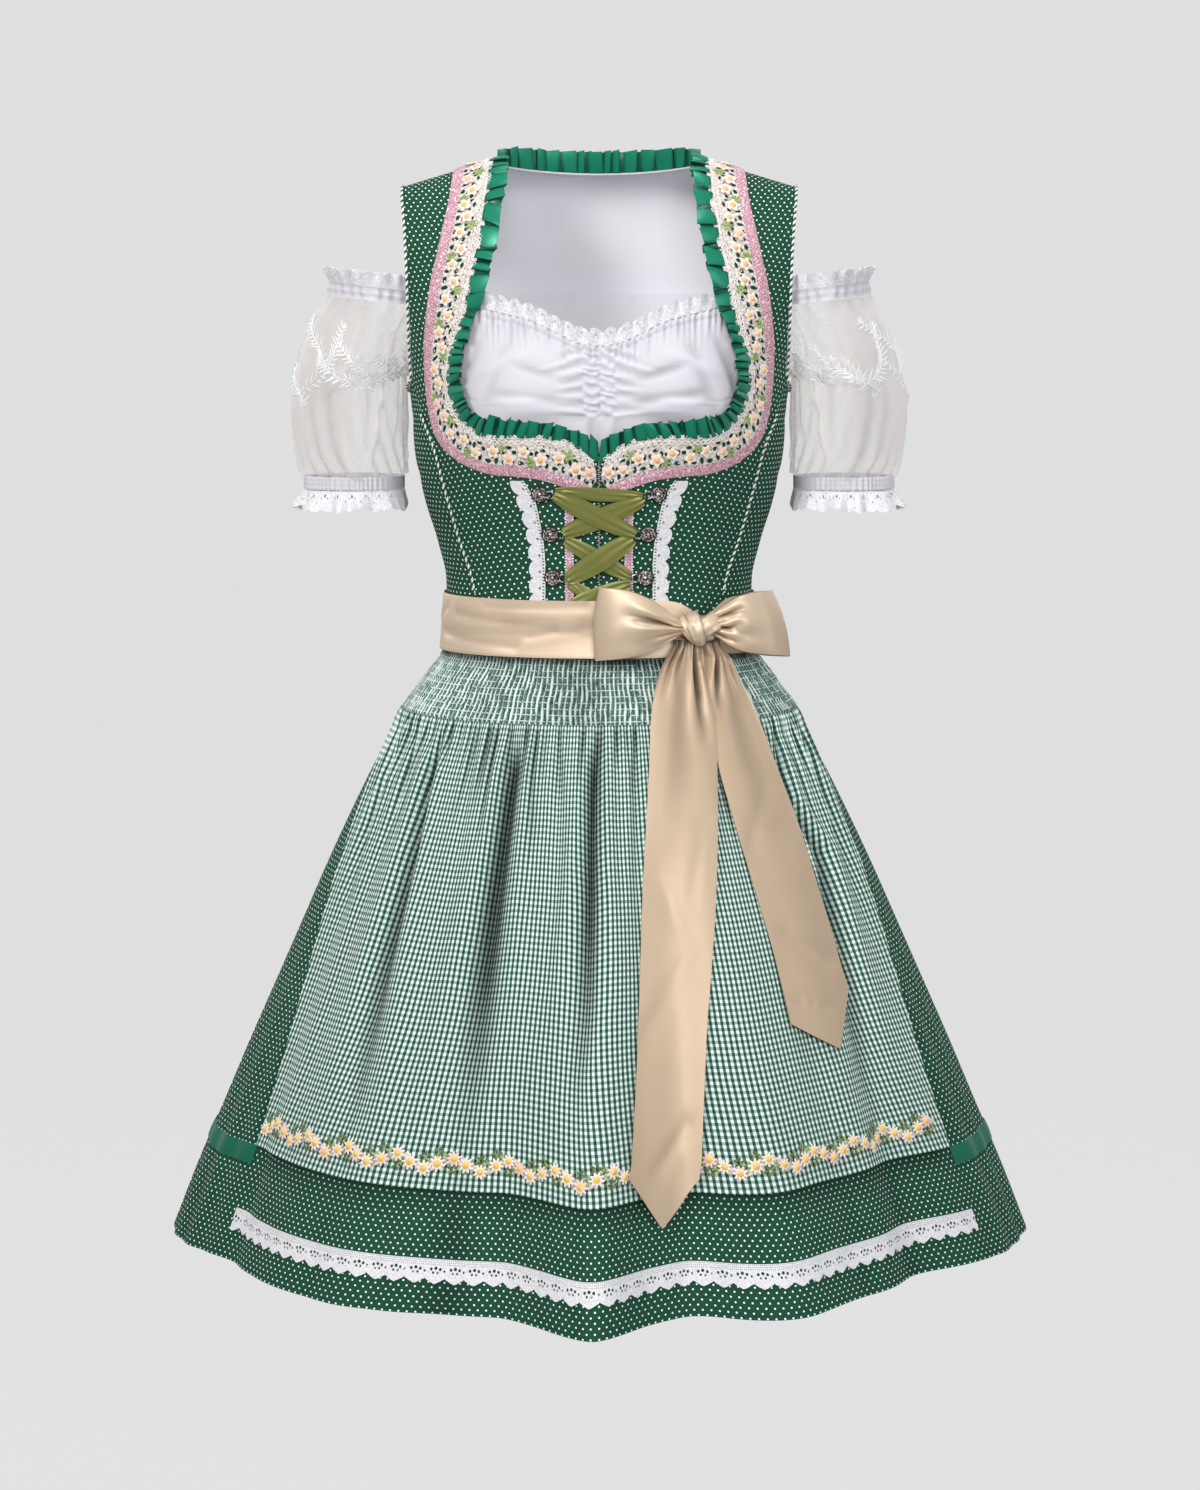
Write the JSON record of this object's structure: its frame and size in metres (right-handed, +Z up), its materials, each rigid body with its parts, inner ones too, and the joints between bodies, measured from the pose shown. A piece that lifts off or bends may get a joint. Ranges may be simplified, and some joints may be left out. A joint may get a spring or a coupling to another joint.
{
  "type": "dirndl dress set",
  "caption": "Laced dirndl dress with ruffled neckline, smocked gingham apron with ribbon belt and side bow, and off-shoulder puff-sleeve blouse, in worn hollow form.",
  "frame": {"origin": "midway between the two shoulder straps, level with the top of the front neck ruffle, where the wearer's shoulders hold the dress up", "axes": "+Z up, -Y the front of the garment, +X the viewer's right when it is seen from the front"},
  "size_m": [0.736, 0.6208, 0.919],
  "materials": {
    "dotted_cotton": "dark green printed cotton with small white dots",
    "gingham_cotton": "green and white checked cotton",
    "emerald_satin": "emerald satin",
    "flower_trim": "cream crocheted and embroidered flowers",
    "pink_braid": "pink woven braid",
    "olive_ribbon": "olive green satin ribbon",
    "champagne_satin": "champagne satin",
    "white_cotton": "white cotton and eyelet lace",
    "organza": "sheer white organza",
    "twisted_piping": "twisted green and white piping",
    "old_silver": "antiqued silver-coloured metal"
  },
  "bodies": {
    "root": {"apron_flowers": "flower_trim", "apron_skirt": "gingham_cotton", "apron_smocking": "gingham_cotton", "armhole_piping_left": "twisted_piping", "armhole_piping_right": "twisted_piping", "back_lining": "white_cotton", "belt": "champagne_satin", "blouse_back": "white_cotton", "blouse_front": "white_cotton", "blouse_lace": "white_cotton", "bodice_back": "dotted_cotton", "bodice_front_left": "dotted_cotton", "bodice_front_right": "dotted_cotton", "bodice_side_left": "dotted_cotton", "bodice_side_right": "dotted_cotton", "bow_knot": "champagne_satin", "bow_loop_left": "champagne_satin", "bow_loop_right": "champagne_satin", "bow_tail_long": "champagne_satin", "bow_tail_right": "champagne_satin", "cuff_band_left": "white_cotton", "cuff_band_right": "white_cotton", "cuff_frill_left": "white_cotton", "cuff_frill_right": "white_cotton", "flower_lace_left": "flower_trim", "flower_lace_right": "flower_trim", "front_zip": "white_cotton", "hem_lace": "white_cotton", "hook_left_1": "old_silver", "hook_left_2": "old_silver", "hook_left_3": "old_silver", "hook_right_1": "old_silver", "hook_right_2": "old_silver", "hook_right_3": "old_silver", "lacing_1": "olive_ribbon", "lacing_2": "olive_ribbon", "lacing_3": "olive_ribbon", "lacing_4": "olive_ribbon", "lacing_5": "olive_ribbon", "lacing_6": "olive_ribbon", "lacing_7": "olive_ribbon", "neck_ruffle_back": "emerald_satin", "neck_ruffle_left": "emerald_satin", "neck_ruffle_right": "emerald_satin", "pink_braid_left": "pink_braid", "pink_braid_right": "pink_braid", "pink_edging_left": "pink_braid", "pink_edging_right": "pink_braid", "princess_piping_left": "twisted_piping", "princess_piping_right": "twisted_piping", "scallop_lace_left": "white_cotton", "scallop_lace_right": "white_cotton", "side_ribbon": "emerald_satin", "skirt_back": "dotted_cotton", "skirt_front": "dotted_cotton", "sleeve_left": "organza", "sleeve_right": "organza", "sleeve_top_band_left": "white_cotton", "sleeve_top_band_right": "white_cotton"}
  },
  "joints": []
}
